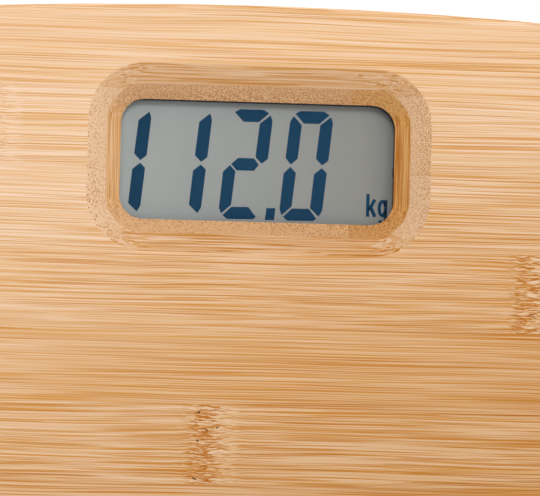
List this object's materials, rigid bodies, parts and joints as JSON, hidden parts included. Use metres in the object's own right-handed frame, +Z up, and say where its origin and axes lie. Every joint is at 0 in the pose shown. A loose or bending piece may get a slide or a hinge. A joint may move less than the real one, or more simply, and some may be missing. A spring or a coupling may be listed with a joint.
{
  "type": "bathroom scale",
  "caption": "Flat square bathroom scale: bamboo platform with a bevelled display window, liquid crystal display, load-cell feet, electronics tray, battery door and unit button.",
  "frame": {"origin": "on the floor under the middle of the platform, feet at rest", "axes": "+X to the right and +Y towards the display edge as the user reads it, +Z up"},
  "size_m": [0.3, 0.3, 0.027],
  "materials": {
    "bamboo_face": "satin lacquered bamboo, grain along X",
    "bamboo_core": "satin lacquered bamboo, grain along Y",
    "gasket_foam": "matt closed-cell foam",
    "lens_acrylic": "clear polished acrylic",
    "display_glass": "grey reflective liquid crystal display with dark blue segments",
    "zebra_rubber": "striped conductive rubber",
    "black_plastic": "spark-textured moulded plastic",
    "board_laminate": "green solder resist",
    "chip_epoxy": "glossy black epoxy",
    "switch_metal": "stamped steel",
    "contact_steel": "nickel-plated spring steel",
    "battery_jacket": "glossy printed jacket",
    "cell_steel": "plated steel sheet",
    "pad_rubber": "matt rubber",
    "cable_sheath": "flexible sheath",
    "screw_steel": "zinc-plated steel"
  },
  "bodies": {
    "platform": {"bamboo_bottom_ply": "bamboo_face", "bamboo_core_ply": "bamboo_core", "bamboo_top_ply": "bamboo_face", "battery_front": "battery_jacket", "battery_rear": "battery_jacket", "board_screw_left": "screw_steel", "board_screw_right": "screw_steel", "bridge_contact": "contact_steel", "cable_front_left": "cable_sheath", "cable_front_right": "cable_sheath", "cable_rear_left": "cable_sheath", "cable_rear_right": "cable_sheath", "circuit_board": "board_laminate", "controller_chip": "chip_epoxy", "display_lens": "lens_acrylic", "electronics_tray": "black_plastic", "foot_holder_front_left": "black_plastic", "foot_holder_front_right": "black_plastic", "foot_holder_rear_left": "black_plastic", "foot_holder_rear_right": "black_plastic", "foot_screw_front_left_1": "screw_steel", "foot_screw_front_left_2": "screw_steel", "foot_screw_front_right_1": "screw_steel", "foot_screw_front_right_2": "screw_steel", "foot_screw_rear_left_1": "screw_steel", "foot_screw_rear_left_2": "screw_steel", "foot_screw_rear_right_1": "screw_steel", "foot_screw_rear_right_2": "screw_steel", "groove_cover_front_left": "black_plastic", "groove_cover_front_right": "black_plastic", "groove_cover_rear_left": "black_plastic", "groove_cover_rear_right": "black_plastic", "lcd_cell": "display_glass", "lcd_holder": "black_plastic", "load_cell_front_left": "cell_steel", "load_cell_front_right": "cell_steel", "load_cell_rear_left": "cell_steel", "load_cell_rear_right": "cell_steel", "negative_contact": "contact_steel", "positive_contact": "contact_steel", "tray_screw_front_left": "screw_steel", "tray_screw_front_right": "screw_steel", "tray_screw_rear_left": "screw_steel", "tray_screw_rear_right": "screw_steel", "unit_switch": "switch_metal", "window_gasket": "gasket_foam", "zebra_strip_front": "zebra_rubber", "zebra_strip_rear": "zebra_rubber"},
    "battery_door": {"battery_door": "black_plastic"},
    "unit_button": {"unit_button": "black_plastic"},
    "foot_front_right": {"foot_cap_front_right": "black_plastic", "foot_pad_front_right": "pad_rubber"},
    "foot_front_left": {"foot_cap_front_left": "black_plastic", "foot_pad_front_left": "pad_rubber"},
    "foot_rear_left": {"foot_cap_rear_left": "black_plastic", "foot_pad_rear_left": "pad_rubber"},
    "foot_rear_right": {"foot_cap_rear_right": "black_plastic", "foot_pad_rear_right": "pad_rubber"}
  },
  "joints": [
    {"name": "foot_play_front_right", "type": "slide", "parent": "platform", "child": "foot_front_right", "axis": [0, 0, 1], "range_m": [-0.0007, 0]},
    {"name": "foot_play_front_left", "type": "slide", "parent": "platform", "child": "foot_front_left", "axis": [0, 0, 1], "range_m": [-0.0007, 0]},
    {"name": "foot_play_rear_left", "type": "slide", "parent": "platform", "child": "foot_rear_left", "axis": [0, 0, 1], "range_m": [-0.0007, 0]},
    {"name": "foot_play_rear_right", "type": "slide", "parent": "platform", "child": "foot_rear_right", "axis": [0, 0, 1], "range_m": [-0.0007, 0]},
    {"name": "battery_door_hinge", "type": "hinge", "parent": "platform", "child": "battery_door", "pos_m": [0, 0.0426, 0.005], "axis": [-1, 0, 0], "range_deg": [0, 80]},
    {"name": "unit_button_slide", "type": "slide", "parent": "platform", "child": "unit_button", "axis": [0, 0, 1], "range_m": [0, 0.0006], "stiffness_N_per_m": 1500}
  ]
}
